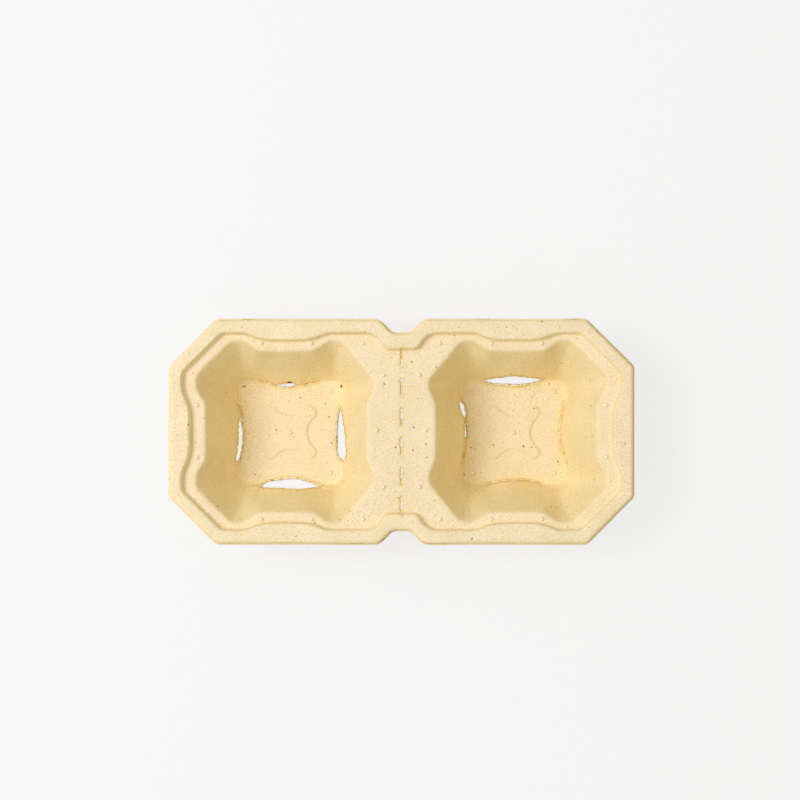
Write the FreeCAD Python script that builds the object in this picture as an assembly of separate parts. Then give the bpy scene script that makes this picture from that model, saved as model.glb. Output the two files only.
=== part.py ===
import FreeCAD, Part
import math
import os
from FreeCAD import Vector

# A moulded-pulp carrier for two cups: one thin wall, pressed into a flange with a down-turned edge,
# a lower ledge, and two tapered wells with slit floors. The bridge between the wells is perforated.
# +X is along the length and +Z is up. The origin is the middle of the surface that it stands on.
# Lengths are in millimetres and angles in degrees.

# Overall sizes, measured over the trim lip
overall_length = 215.0
overall_width = 104.4
overall_height = 45.0
wall = 1.2

# Edge: a rounded shoulder, a skirt and a narrow trim lip
skirt_depth = 5.0
skirt_draft = 5.0
shoulder_round = 1.5
lip_width = 0.7
corner_leg = 22.0
corner_round = 4.0

# Waist notches in the long sides
notch_depth = 6.3
notch_floor_half = 3.9
notch_mouth_half = 10.1
notch_mouth_round = 6.5
notch_floor_round = 4.0

# Flange, from the trim lip in to the middle of the step
flange_end_width = 6.35
flange_side_width = 6.9

# Step from the flange down to the ledge, with a bulge beside each well and a deep one at the bridge
step_drop = 4.2
step_run = 1.3
step_end_bulge = 3.8
step_side_bulge = 3.3
step_bulge_inset = 1.6
step_flank_run = 8.0
step_corner_cut = 18.2
step_bridge_bulge = 7.4
step_bridge_half = 7.2
step_bridge_flank = 4.6
step_bulge_round = 24.0
step_pocket_round = 12.0
step_corner_round = 5.0
step_bridge_round = 3.0
step_bridge_mouth_round = 9.0

# Ledge, from the step's bulges in to the well's rim, and the bridge between the two rims
ledge_end_width = 6.9
ledge_side_width = 4.7
bridge_half = 15.85

# Wells: each wall has a flat bulge in the middle and pockets beside it, and the corners are cut off.
# The pockets next to the bridge are shallower, and their corners lean away from it.
wall_run = 15.5
rim_end_pocket = 4.5
rim_side_pocket = 4.8
rim_bridge_pocket = 3.1
rim_pocket_width = 6.2
rim_flank_run = 7.0
rim_corner_cut = 16.1
rim_bridge_lean = 2.2
rim_bulge_round = 5.0
rim_pocket_round = 7.5
rim_corner_round = 6.0
rim_edge_round = 2.0

floor_pocket = 3.0
floor_bulge_half = 4.0
floor_flank_run = 10.0
floor_corner_cut = 3.0
floor_bulge_round = 12.0
floor_pocket_round = 6.0
floor_corner_round = 4.0
floor_edge_round = 2.0

# Slits between the floors and the walls. Each opens as far as its side of the floor has pulled away.
slit_end_half = 15.0
slit_end_run = 2.6
slit_floor_gap = 0.1
left_slit_right_opening = 3.8
left_slit_far_opening = 1.5
left_slit_left_opening = 2.6
left_slit_near_opening = 4.8
right_slit_right_opening = 0.3
right_slit_far_opening = 4.3
right_slit_left_opening = 1.0
right_slit_near_opening = 0.3

# Raised cross in the middle of each floor
cross_reach = 16.3
cross_arm_half = 3.0
cross_height = 0.7
cross_flank = 0.5
cross_tip_round = 2.85
cross_waist_round = 9.0

# Perforation across the bridge
cut_count = 6
cut_length = 8.2
cut_pitch = 13.7
cut_width = 0.7

# Finish of the rounds, which are built from short flat bands
round_band_width = 2.0
step_bands = 3
least_round = 0.2
side_share = 0.96
same_place = 1e-6
past_surface = 1.0

# Sizes that follow from those above
flange_top = overall_height
ledge_top = overall_height - step_drop
floor_top = wall
lip_bottom = overall_height - skirt_depth
lip_top = lip_bottom + wall
step_end = overall_length / 2 - flange_end_width
step_side = overall_width / 2 - flange_side_width
well_end = step_end - step_end_bulge - ledge_end_width
well_centre = (well_end + bridge_half) / 2
well_half_length = (well_end - bridge_half) / 2
well_half_width = step_side - step_side_bulge - ledge_side_width
rim_end = well_half_length + rim_end_pocket
rim_side = well_half_width + rim_side_pocket
end_bulge_half = rim_side - rim_corner_cut - rim_pocket_width - rim_flank_run
side_bulge_half = rim_end - rim_corner_cut - rim_pocket_width - rim_flank_run
floor_half_length = well_half_length - wall_run
floor_half_width = well_half_width - wall_run
well_taper = wall_run / (ledge_top - floor_top)
well_draft = math.degrees(math.atan(well_taper))


def both_sides(upper):
    """The whole outline, counter-clockwise, from its corners on the +Y side."""
    return upper + [(x, -y, radius) for x, y, radius in reversed(upper)]


def all_quarters(quarter):
    """The whole outline, counter-clockwise, from the corners in its +X +Y quarter."""
    return both_sides(quarter + [(-x, y, radius) for x, y, radius in reversed(quarter)])


def facing(corners, side):
    """The outline of the +X well, or its mirror image for the -X well."""
    return corners if side > 0 else [(-x, y, radius) for x, y, radius in reversed(corners)]


def directions(corners, index):
    """The directions of the sides that come into a corner and leave it."""
    before = Vector(*corners[index - 1][:2], 0)
    here = Vector(*corners[index][:2], 0)
    after = Vector(*corners[(index + 1) % len(corners)][:2], 0)
    return (here - before).normalize(), (after - here).normalize()


def grow(corners, distance):
    """The outline with every side moved outward, and its rounds kept concentric."""
    grown = []
    for index, (x, y, radius) in enumerate(corners):
        arriving, leaving = directions(corners, index)
        push = Vector(arriving.y + leaving.y, -arriving.x - leaving.x, 0)
        push = push * (distance / (1 + arriving.dot(leaving)))
        outward_corner = arriving.cross(leaving).z > 0
        new_radius = radius + distance if outward_corner else radius - distance
        grown.append((x + push.x, y + push.y, max(new_radius, least_round)))
    return grown


def arc_reaches(corners):
    """How far each corner's arc reaches along its sides, shortened where two arcs would meet."""
    wanted = []
    for index, (x, y, radius) in enumerate(corners):
        arriving, leaving = directions(corners, index)
        wanted.append(radius * math.tan(arriving.getAngle(leaving) / 2))
    shares = []
    for index, corner in enumerate(corners):
        following = (index + 1) % len(corners)
        side = math.dist(corner[:2], corners[following][:2])
        shares.append(min(1, side_share * side / (wanted[index] + wanted[following])))
    return [reach * min(shares[index - 1], shares[index]) for index, reach in enumerate(wanted)]


def rounded_edges(corners, height, shift=0.0):
    """Straight sides joined by tangent arcs, at one height and moved along X."""
    arcs = []
    for index, tangent in enumerate(arc_reaches(corners)):
        arriving, leaving = directions(corners, index)
        here = Vector(corners[index][0] + shift, corners[index][1], height)
        inward = (leaving - arriving).normalize()
        middle = here + inward * (tangent * math.tan(arriving.getAngle(leaving) / 4))
        arcs.append((here - arriving * tangent, middle, here + leaving * tangent))
    edges = []
    for index, (start, middle, end) in enumerate(arcs):
        next_start = arcs[(index + 1) % len(arcs)][0]
        edges.append(Part.Arc(start, middle, end).toShape())
        edges.append(Part.LineSegment(end, next_start).toShape())
    return edges


def joining_face(lower, upper):
    """The face between two matching edges: a piece of a cone, a flat one or a twisted one."""
    start = lower.valueAt(lower.FirstParameter)
    end = lower.valueAt(lower.LastParameter)
    upper_start = upper.valueAt(upper.FirstParameter)
    upper_end = upper.valueAt(upper.LastParameter)
    if isinstance(lower.Curve, Part.Circle):
        axis = lower.Curve.Axis
        offset = upper.Curve.Center - lower.Curve.Center
        if offset.cross(axis).Length < same_place:
            turn = math.degrees(lower.LastParameter - lower.FirstParameter)
            side = Part.LineSegment(start, upper_start).toShape()
            return side.revolve(lower.Curve.Center, axis, turn)
    elif (end - start).cross(upper_end - upper_start).Length < same_place:
        return Part.Face(Part.makePolygon([start, end, upper_end, upper_start, start]))
    return Part.makeRuledSurface(lower, upper)


def bands(levels):
    """The faces between each level's edges and the next level's."""
    faces = []
    for lower, upper in zip(levels, levels[1:]):
        faces += [joining_face(a, b) for a, b in zip(lower, upper)]
    return faces


def flat_face(outer, holes=()):
    """A level face inside one loop of edges and outside others."""
    return Part.makeFace([Part.Wire(edges) for edges in (outer, *holes)], "Part::FaceMakerBullseye")


def round_profile(radius, draft):
    """Outward distance and depth along a convex round, from the flat to a wall of that draft."""
    radius = max(radius, least_round)
    full_turn = math.radians(90 - draft)
    setback = radius * math.tan(full_turn / 2)
    profile = []
    count = math.ceil(radius * full_turn / round_band_width)
    for step in range(count + 1):
        angle = full_turn * step / count
        depth = radius * (1 - math.cos(angle))
        profile.append((setback - radius * math.sin(angle), depth))
    return profile


def edge_corners():
    """The outline over the trim lip."""
    half_length = overall_length / 2
    half_width = overall_width / 2
    return all_quarters([
        (half_length, half_width - corner_leg, corner_round),
        (half_length - corner_leg, half_width, corner_round),
        (notch_mouth_half, half_width, notch_mouth_round),
        (notch_floor_half, half_width - notch_depth, notch_floor_round),
    ])


def step_corners():
    """The line of the step, at the middle of its slope."""
    end_bulge = end_bulge_half - step_bulge_inset
    side_bulge = side_bulge_half - step_bulge_inset
    return all_quarters([
        (step_end - step_end_bulge, end_bulge, step_bulge_round),
        (step_end, end_bulge + step_flank_run, step_pocket_round),
        (step_end, step_side - step_corner_cut, step_corner_round),
        (step_end - step_corner_cut, step_side, step_corner_round),
        (well_centre + side_bulge + step_flank_run, step_side, step_pocket_round),
        (well_centre + side_bulge, step_side - step_side_bulge, step_bulge_round),
        (well_centre - side_bulge, step_side - step_side_bulge, step_bulge_round),
        (well_centre - side_bulge - step_flank_run, step_side, step_pocket_round),
        (step_bridge_half + step_bridge_flank, step_side, step_bridge_mouth_round),
        (step_bridge_half, step_side - step_bridge_bulge, step_bridge_round),
    ])


def rim_corners():
    """The +X well's outline where its walls would meet the ledge, from its end round to the bridge."""
    bridge = well_half_length + rim_bridge_pocket
    end_pocket_start = end_bulge_half + rim_flank_run
    side_pocket_start = side_bulge_half + rim_flank_run
    return both_sides([
        (well_half_length, end_bulge_half, rim_bulge_round),
        (rim_end, end_pocket_start, rim_pocket_round),
        (rim_end, rim_side - rim_corner_cut, rim_corner_round),
        (rim_end - rim_corner_cut, rim_side, rim_corner_round),
        (side_pocket_start, rim_side, rim_pocket_round),
        (side_bulge_half, well_half_width, rim_bulge_round),
        (-side_bulge_half, well_half_width, rim_bulge_round),
        (-side_pocket_start, rim_side, rim_pocket_round),
        (rim_corner_cut - rim_end, rim_side, rim_corner_round),
        (-bridge, rim_side - rim_corner_cut - rim_bridge_lean, rim_corner_round),
        (-bridge, end_pocket_start, rim_pocket_round),
        (-well_half_length, end_bulge_half, rim_bulge_round),
    ])


def floor_corners():
    """A well's outline where its walls would meet the floor."""
    end = floor_half_length + floor_pocket
    side = floor_half_width + floor_pocket
    pocket_start = floor_bulge_half + floor_flank_run
    return all_quarters([
        (floor_half_length, floor_bulge_half, floor_bulge_round),
        (end, pocket_start, floor_pocket_round),
        (end, side - floor_corner_cut, floor_corner_round),
        (end - floor_corner_cut, side, floor_corner_round),
        (pocket_start, side, floor_pocket_round),
        (floor_bulge_half, floor_half_width, floor_bulge_round),
    ])


def edge_levels(depth):
    """The skirt and its shoulder, upward, at a depth into the wall."""
    slope = math.tan(math.radians(skirt_draft))
    inset = lip_width + depth / math.cos(math.radians(skirt_draft))
    foot = lip_top if depth == 0 else lip_bottom
    top = flange_top - depth
    levels = [(-inset - (foot - lip_top) * slope, foot)]
    for beyond, drop in reversed(round_profile(shoulder_round - depth, skirt_draft)):
        along = -inset - (top - lip_top) * slope
        levels.append((along - beyond, top - drop))
    return [rounded_edges(grow(edge_corners(), distance), height) for distance, height in levels]


def step_levels(depth):
    """The slope from the flange down to the ledge, at a depth into the wall."""
    half_slope = math.atan2(step_drop, step_run) / 2
    outward = depth * math.tan(half_slope)
    levels = []
    for step in range(step_bands + 1):
        share = step / step_bands
        distance = (0.5 - share) * step_run + outward
        height = flange_top - depth - step_drop * (1 - math.cos(math.pi * share)) / 2
        levels.append(rounded_edges(grow(step_corners(), distance), height))
    return levels


def well_levels(depth, side):
    """The rounded rim, the tapered wall and the rounded foot of a well, at a depth into the wall."""
    centre = side * well_centre
    outward = depth / math.cos(math.radians(well_draft)) - depth * well_taper
    levels = []
    for beyond, drop in round_profile(rim_edge_round - depth, well_draft):
        corners = facing(grow(rim_corners(), outward + beyond), side)
        levels.append(rounded_edges(corners, ledge_top - depth - drop, centre))
    for beyond, rise in reversed(round_profile(floor_edge_round + depth, well_draft)):
        corners = facing(grow(floor_corners(), outward - beyond), side)
        levels.append(rounded_edges(corners, floor_top - depth + rise, centre))
    return levels


def skin(depth):
    """One side of the pulp wall, and the loop where it meets the trim lip."""
    edge = edge_levels(depth)
    step = step_levels(depth)
    wells = [well_levels(depth, side) for side in (-1, 1)]
    faces = bands(edge) + bands(step)
    faces.append(flat_face(edge[-1], [step[0]]))
    faces.append(flat_face(step[-1], [well[0] for well in wells]))
    for well in wells:
        faces += bands(well)
        faces.append(flat_face(well[-1]))
    return faces, edge[0]


def moulded_wall():
    """The bare moulding: its two skins, closed by the trim lip."""
    upper_faces, upper_loop = skin(0)
    lower_faces, lower_loop = skin(wall)
    lip_upper = rounded_edges(edge_corners(), lip_top)
    lip_lower = rounded_edges(edge_corners(), lip_bottom)
    lip_faces = bands([upper_loop, lip_upper, lip_lower, lower_loop])
    solid = Part.Solid(Part.Shell(upper_faces + lower_faces + lip_faces))
    return solid if solid.Volume > 0 else solid.reversed()


def bow(start, end, middle):
    """A shallow curve between two points, through a third over their middle."""
    curve = Part.BezierCurve()
    curve.setPoles([start, middle * 2 - (start + end) / 2, end])
    return curve.toShape()


def slit(floor_reach, opening):
    """The gap between the wall in +X and a floor whose bulge reaches so far."""
    foot = -past_surface
    end_line = floor_reach + slit_end_run
    floor_line = floor_reach + slit_floor_gap
    start = Vector(end_line, -slit_end_half, foot)
    end = Vector(end_line, slit_end_half, foot)
    floor_side = bow(start, end, Vector(floor_line, 0, foot))
    wall_side = bow(start, end, Vector(floor_line + opening, 0, foot))
    face = Part.Face(Part.Wire([floor_side, wall_side]))
    return face.extrude(Vector(0, 0, ledge_top - foot))


def slits():
    """The four slits of each well, counter-clockwise from its +X side."""
    openings = {
        -1: (left_slit_right_opening, left_slit_far_opening,
             left_slit_left_opening, left_slit_near_opening),
        1: (right_slit_right_opening, right_slit_far_opening,
            right_slit_left_opening, right_slit_near_opening),
    }
    cutters = []
    for side, sizes in openings.items():
        for quarter_turn, opening in enumerate(sizes):
            cutter = slit((floor_half_length, floor_half_width)[quarter_turn % 2], opening)
            cutter.rotate(Vector(0, 0, 0), Vector(0, 0, 1), 90 * quarter_turn)
            cutter.translate(Vector(side * well_centre, 0, 0))
            cutters.append(cutter)
    return cutters


def cross_corners():
    """The raised cross: four round-ended arms on the diagonals, with hollow rounds between them."""
    corners = []
    waist = cross_arm_half * math.sqrt(2)
    for quarter_turn in range(4):
        angle = math.radians(90 * quarter_turn)
        corners.append((waist * math.cos(angle), waist * math.sin(angle), cross_waist_round))
        along = Vector(math.cos(angle + math.pi / 4), math.sin(angle + math.pi / 4), 0)
        across = Vector(-along.y, along.x, 0)
        for side in (-1, 1):
            tip = along * cross_reach + across * (side * cross_arm_half)
            corners.append((tip.x, tip.y, cross_tip_round))
    return corners


def cross_body(bottom, top, depth, centre):
    """A tapered slab on the cross's outline, at a depth into the wall."""
    wide = rounded_edges(grow(cross_corners(), cross_flank - depth), bottom, centre)
    narrow = rounded_edges(grow(cross_corners(), -depth), top, centre)
    faces = bands([wide, narrow]) + [flat_face(wide), flat_face(narrow)]
    solid = Part.Solid(Part.Shell(faces))
    return solid if solid.Volume > 0 else solid.reversed()


def perforation():
    """The row of blade cuts across the bridge."""
    cutters = []
    first = -cut_pitch * (cut_count - 1) / 2
    foot = ledge_top - wall - past_surface
    for index in range(cut_count):
        middle = first + cut_pitch * index
        corner = Vector(-cut_width / 2, middle - cut_length / 2, foot)
        cutters.append(Part.makeBox(cut_width, cut_length, flange_top + past_surface - foot, corner))
    return cutters


def carrier_tray():
    """The whole carrier, with its reliefs added and its slits and perforation cut."""
    raised = []
    sunk = slits() + perforation()
    for side in (-1, 1):
        centre = side * well_centre
        raised.append(cross_body(floor_top / 2, floor_top + cross_height, 0, centre))
        sunk.append(cross_body(-past_surface, cross_height, wall / 2, centre))
    tray = moulded_wall().fuse(raised).cut(sunk)
    return tray.Solids[0]


os.makedirs("parts", exist_ok=True)
carrier_tray().exportStep("parts/carrier_tray.step")
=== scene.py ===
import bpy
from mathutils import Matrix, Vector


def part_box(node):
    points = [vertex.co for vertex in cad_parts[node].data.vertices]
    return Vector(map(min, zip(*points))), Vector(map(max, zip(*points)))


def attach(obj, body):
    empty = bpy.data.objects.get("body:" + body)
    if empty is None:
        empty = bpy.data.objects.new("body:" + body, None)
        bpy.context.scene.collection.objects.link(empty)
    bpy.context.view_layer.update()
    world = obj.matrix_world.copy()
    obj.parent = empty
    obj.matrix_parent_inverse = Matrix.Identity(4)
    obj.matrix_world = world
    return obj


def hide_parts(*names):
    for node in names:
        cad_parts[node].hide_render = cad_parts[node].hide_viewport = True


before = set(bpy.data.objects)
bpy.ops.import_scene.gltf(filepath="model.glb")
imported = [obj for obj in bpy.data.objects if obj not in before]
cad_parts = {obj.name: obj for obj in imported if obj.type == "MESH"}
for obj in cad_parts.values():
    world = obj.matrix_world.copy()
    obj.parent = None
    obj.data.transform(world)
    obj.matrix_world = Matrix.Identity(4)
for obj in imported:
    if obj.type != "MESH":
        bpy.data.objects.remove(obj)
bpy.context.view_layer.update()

import math

import bpy
import numpy as np
from mathutils import Matrix, Vector, kdtree, noise
from mathutils.geometry import delaunay_2d_cdt

# The carrier is one moulding of paper pulp. Its upper skin is laid out in plan as triangles between
# the lines of the mould, raised to the mould's heights, roughened, and doubled through the wall.
# Sizes are in millimetres and angles in degrees, unless a heading says otherwise. The overall size
# comes from the frame.
MM = 0.001
low_corner, high_corner = (Vector(corner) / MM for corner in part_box("carrier_tray"))
overall_length = high_corner.x - low_corner.x
overall_width = high_corner.y - low_corner.y
overall_height = high_corner.z - low_corner.z
wall = 1.2

# Edge
skirt_depth = 5.0
skirt_draft = 5.0
shoulder_round = 1.5
lip_width = 0.7
lip_edge = 0.06
corner_leg = 22.0
corner_round = 4.0
notch_depth = 6.3
notch_floor_half = 3.9
notch_mouth_half = 10.1
notch_mouth_round = 6.5
notch_floor_round = 4.0

# Flange, from the trim lip in to the middle of the step
flange_end_width = 6.35
flange_side_width = 6.9

# Step from the flange down to the ledge, with a bulge beside each well and a deep one at the bridge
step_drop = 4.2
step_run = 1.3
step_end_bulge = 3.8
step_side_bulge = 3.3
step_bulge_inset = 1.6
step_flank_run = 8.0
step_corner_cut = 18.2
step_bridge_bulge = 7.4
step_bridge_half = 7.2
step_bridge_flank = 4.6
step_bulge_round = 24.0
step_pocket_round = 12.0
step_corner_round = 5.0
step_bridge_round = 3.0
step_bridge_mouth_round = 9.0

# Ledge, from the step's bulges in to the well's rim, and the bridge between the two rims
ledge_end_width = 6.9
ledge_side_width = 4.7
bridge_half = 15.85

# Wells: bulges at the middle of the walls, pockets beside them and cut-off corners
wall_run = 15.5
rim_end_pocket = 4.5
rim_side_pocket = 4.8
rim_bridge_pocket = 3.1
rim_pocket_width = 6.2
rim_flank_run = 7.0
rim_corner_cut = 16.1
rim_bridge_lean = 2.2
rim_bulge_round = 5.0
rim_pocket_round = 7.5
rim_corner_round = 6.0
rim_edge_round = 2.0
floor_pocket = 3.0
floor_bulge_half = 4.0
floor_flank_run = 10.0
floor_corner_cut = 3.0
floor_bulge_round = 12.0
floor_pocket_round = 6.0
floor_corner_round = 4.0
floor_edge_round = 2.0

# Slits between floors and walls, each with its well's side and its quarter turns from +X. A station
# gives a place along the slit, then how far out the torn edges of the floor and of the wall lie there.
slits = (
    (-1, 0, ((-13.8, 24.5, 24.5), (-11.0, 22.9, 26.4), (-5.0, 21.9, 26.4), (1.0, 21.7, 26.0),
             (8.6, 22.7, 24.4), (13.0, 23.9, 23.9))),
    (-1, 1, ((-14.4, 24.4, 24.4), (-8.0, 22.6, 22.75), (-3.4, 21.9, 22.1), (-1.8, 21.65, 23.1),
             (3.0, 21.6, 23.0), (6.6, 22.0, 22.6), (8.0, 22.6, 22.75), (14.7, 24.7, 24.7))),
    (-1, 2, ((-13.2, 24.6, 24.6), (-10.5, 23.5, 24.0), (-8.0, 22.8, 23.0), (-6.4, 22.9, 23.8),
             (-1.5, 22.1, 24.2), (4.4, 22.2, 24.4), (9.5, 23.1, 25.0), (13.4, 24.3, 25.5),
             (14.5, 25.0, 25.0))),
    (-1, 3, ((-15.2, 25.5, 25.5), (-12.0, 23.7, 26.0), (-5.5, 22.2, 26.2), (0.6, 21.6, 26.5),
             (4.3, 21.8, 26.6), (8.0, 22.8, 26.4), (11.8, 24.1, 25.9), (14.7, 25.2, 25.2))),
    (1, 0, ((-14.5, 24.9, 24.9), (-9.4, 23.3, 23.6), (-3.4, 21.8, 21.95), (2.5, 21.8, 21.95),
            (8.9, 22.9, 23.05), (14.5, 24.0, 24.0))),
    (1, 1, ((-15.0, 25.0, 25.0), (-9.8, 23.3, 25.6), (-4.0, 22.3, 26.0), (0.0, 22.1, 26.3),
            (5.5, 22.5, 25.9), (10.6, 23.3, 25.3), (14.3, 24.4, 24.4))),
    (1, 2, ((-15.4, 25.1, 25.1), (-14.0, 23.9, 25.5), (-11.0, 23.0, 24.8), (-8.2, 22.5, 24.0),
            (-7.0, 22.6, 22.8), (-4.8, 22.2, 23.1), (-1.0, 21.9, 23.1), (2.4, 22.0, 23.0),
            (3.3, 22.4, 22.6), (9.0, 23.2, 23.3), (14.5, 24.4, 24.4))),
    (1, 3, ((-13.0, 24.5, 24.5), (-5.0, 22.9, 23.0), (0.0, 22.7, 22.8), (6.0, 22.6, 22.7),
            (9.6, 23.1, 23.2), (11.5, 23.6, 24.1), (14.6, 24.8, 24.8))),
)
tear_wave = 0.14
tear_teeth = 0.22
tear_teeth_share = 0.4
tear_least_gap = 0.05
lifted_reach = 7.0
lifted_height = 0.35
groove_distance = 2.4
groove_depth = 0.5
groove_width = 0.65
groove_full_width = 4.0
groove_least_share = 0.25
relief_run = 4.0
edge_slack = 0.01

# Noise along slits and cuts: cells a millimetre, step from one tear to the next, layer, how fast the
# octaves fall, their spacing and their number
slit_wave_noise = (0.5, 5.1, 2.0, 0.7, 2.1, 3)
floor_teeth_noise = (1.6, 3.7, 9.0, 0.5, 2.2, 2)
wall_teeth_noise = (1.6, 3.7, 17.0, 0.5, 2.2, 2)
cut_wave_noise = (0.8, 3.1, 80.0, 0.6, 2.2, 3)
cut_teeth_noise = (1.9, 3.1, 90.0, 1.0, 2.0, 1)

# Scorched spots: the well's side, the place from the well's middle, half of the length and width, and
# how dark, where 1 is burnt and a half is orange
scorches = (
    (-1, (-0.2, 23.5), (1.4, 0.7), 1.0),
    (-1, (-24.1, -11.8), (0.55, 1.0), 1.0),
    (-1, (22.3, -1.8), (0.9, 0.8), 0.5),
    (-1, (22.4, -4.4), (0.7, 0.6), 0.6),
    (-1, (7.6, 23.3), (0.6, 0.35), 0.7),
    (-1, (10.6, 24.0), (0.5, 0.3), 0.7),
    (-1, (-22.4, 22.0), (0.8, 0.5), 1.0),
    (-1, (24.2, 22.1), (0.5, 0.9), 1.0),
    (-1, (-8.9, -22.6), (0.6, 0.4), 0.6),
    (-1, (15.4, -25.2), (0.5, 0.4), 0.8),
    (1, (-20.6, -7.2), (0.4, 0.3), 0.8),
    (1, (-23.9, -17.9), (0.45, 0.4), 0.8),
    (1, (-23.3, -20.0), (0.5, 0.25), 0.8),
)
scorch_reach = 1.5

# Pale creases that run on from the slits' tips: the well's side, then points from the well's middle
creases = (
    (-1, ((14.4, -25.4), (17.0, -26.6), (19.6, -26.6))),
    (-1, ((-15.0, -25.9), (-17.5, -26.7), (-21.5, -26.5))),
    (-1, ((24.0, 13.2), (24.9, 16.5), (25.0, 19.6), (23.6, 22.9))),
    (-1, ((24.2, -14.0), (26.4, -16.4))),
    (-1, ((24.8, -19.0), (22.8, -22.4), (20.0, -24.6))),
    (-1, ((-24.4, 13.4), (-25.6, 16.0), (-26.5, 19.0))),
    (-1, ((14.7, 24.9), (16.6, 25.6))),
    (1, ((14.3, -24.9), (17.5, -26.2), (20.5, -25.2))),
    (1, ((14.4, 24.6), (17.2, 25.4), (19.6, 25.0))),
)
crease_width = 0.5

# Raised cross on each floor
cross_reach = 16.3
cross_arm_half = 3.0
cross_height = 1.0
cross_flank = 1.2
cross_tip_round = 2.85
cross_waist_round = 9.0

# Pimples, seen from a well's own middle with +X towards the end of the carrier
pimple_height = 1.1
pimple_radius = 0.8
pimple_flank = 0.55
pimple_spots = (
    (41.3, 12.2), (41.3, -11.8), (11.6, 40.7), (-11.6, 40.7), (11.6, -40.4), (-11.6, -40.4),
    (-35.4, 40.7), (-35.4, -40.4), (-44.9, 26.0), (-44.9, -25.4), (-41.8, 0.7),
    (19.3, 19.4), (-19.3, 19.4), (19.3, -19.4), (-19.3, -19.4), (0.0, 0.0),
)

# Perforation across the bridge
cut_count = 6
cut_length = 8.2
cut_pitch = 13.7
cut_width = 0.85
cut_shut_width = 0.06
cut_wave = 0.12
dent_depth = 0.5
dent_width = 0.4

# Open stretches of each cut: from and to along the cut from its middle, and a share of the full width
cut_openings = (
    ((-2.0, 3.8, 0.8),),
    ((-1.2, 4.0, 0.8),),
    ((-4.0, -3.0, 0.3), (-0.4, 3.9, 1.0)),
    ((-3.9, -3.2, 0.4), (-1.0, 2.1, 1.0), (2.4, 3.9, 1.0)),
    ((-4.1, -3.3, 0.9), (0.8, 2.0, 0.4), (2.3, 3.9, 1.0)),
    ((-4.1, -3.0, 1.0), (-2.4, -0.8, 0.4)),
)

# Mesh: spacings, how far points keep from lines, the share of a side that its two rounds may take, and
# where lines lie across each flank or round
grid_spacing = 1.02
line_spacing = 0.85
tear_spacing = 0.3
tear_grid_spacing = 0.55
tear_grid_reach = 1.8
line_clearance = 0.42
tear_clearance = 0.33
fine_clearance = 0.275
least_round = 0.2
side_share = 0.96
same_point = 1e-4
tiny = 1e-9
pimple_ring = 8
step_lines = (-0.5, -0.25, 0, 0.25, 0.5)
round_lines = (0, 0.33, 0.6, 0.8, 1)
cross_lines = (-0.75, -0.4, 0, 0.4, 0.75)
shoulder_lines = (0, 0.25, 0.5, 0.75, 1)
skirt_lines = (0.33, 0.66, 0.92)

# The pulp's unevenness, as (height, noise cells a millimetre, layer, octaves)
unevenness = ((0.22, 0.035, 5.0, 1), (0.1, 0.12, 11.0, 1), (0.045, 0.42, 23.0, 2))
uneven_fall = 0.8
uneven_step = 2.1

# Where the colour changes: distances in millimetres, and a share of the slope
torn_limit = 4.0
# How far the painted shade of the wells reaches in over each floor from its edge
fold_reach = 5.0
trim_fade = 0.3
steep_limit = 0.6

# Pulp: its tones
flat_tone = (0.93, 0.765, 0.495, 1)
# A yellower tone painted on the steep walls and round the floors' edges: painted shade of the wells
well_shade_tone = (0.93, 0.775, 0.45, 1)
trim_tone = (0.95, 0.75, 0.44, 1)
fibre_tone = (0.80, 0.62, 0.32, 1)
torn_pale_tone = (0.98, 0.90, 0.68, 1)
torn_dark_tone = (0.80, 0.53, 0.14, 1)
orange_tone = (0.72, 0.38, 0.09, 1)
scorch_tone = (0.10, 0.008, 0.003, 1)

# Clouds and grain, as (size, detail, noise where the low tint ends, and where the high one starts),
# and the tints that multiply the tone
clouds = (16.0, 2.0, 0.3, 0.7)
cloud_tints = ((0.975, 0.97, 0.94, 1), (1.02, 1.02, 1.04, 1))
fine_grain = (0.55, 2.0, 0.2, 0.8)
grain_tints = ((0.87, 0.84, 0.66, 1), (1.1, 1.14, 1.32, 1))

# Fibres: streaks turned three ways and tilted (in radians), long and narrow, bent, and seen where the
# noise is high
fibre_turns = (28, -52, 80)
fibre_tilt = (0.3, 0.2)
fibre_length = 3.2
fibre_width = 0.42
fibre_bend_size = 4.0
fibre_bend = 1.2
fibre_levels = (0.66, 0.76)
fibre_share = 0.35

# Specks, as (spacing, least and most radius, pale tone, dark tone), and the noise that makes them uneven
speck_kinds = (
    (2.7, 0.2, 0.48, (0.76, 0.53, 0.21, 1), (0.64, 0.40, 0.12, 1)),
    (6.5, 0.34, 0.72, (0.54, 0.30, 0.06, 1), (0.26, 0.10, 0.01, 1)),
)
speck_edge = (1.0, 0.45)
speck_bend_size = 0.7
speck_bend = 0.5

# Torn edges: noise that breaks them up, then from and to of each tone, where noise adds to the distance
ragged_size = 1.6
ragged_detail = 3.0
ragged_reach = 2.4
ochre_range = (2.4, 1.5)
ochre_share = 0.75
pale_range = (1.45, 1.15)
pale_share = 0.9
# Where the paler tone on the pimples' tips and along the creases starts and is full
pale_mark_range = (0.1, 0.45)
scorch_ragged = 0.4
orange_range = (0.45, 0.65)
burnt_range = (0.8, 1.05)

# Surface: the bump's fine and broad noise, as (size, detail), and the shader's own values
bump_depth = 0.07
bump_fine = (0.6, 3.0)
bump_broad = (2.5, 2.0)
bump_broad_share = 1.5
pulp_roughness = 0.92
pulp_specular = 0.1

# Light and table: the lamp's place and size and the table's half are in metres
key_place = (-0.75, 0.10, 1.30)
key_size = 0.7
key_power = 11.5
key_tint = (1.0, 1.02, 1.22)
world_strength = 0.57
world_tint = (1.0, 0.975, 0.8, 1)
table_half = 1.5
table_gap = 0.05
table_tone = (0.9, 0.9, 0.9, 1)
table_light = 0.94
table_shadow_share = 0.21

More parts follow.
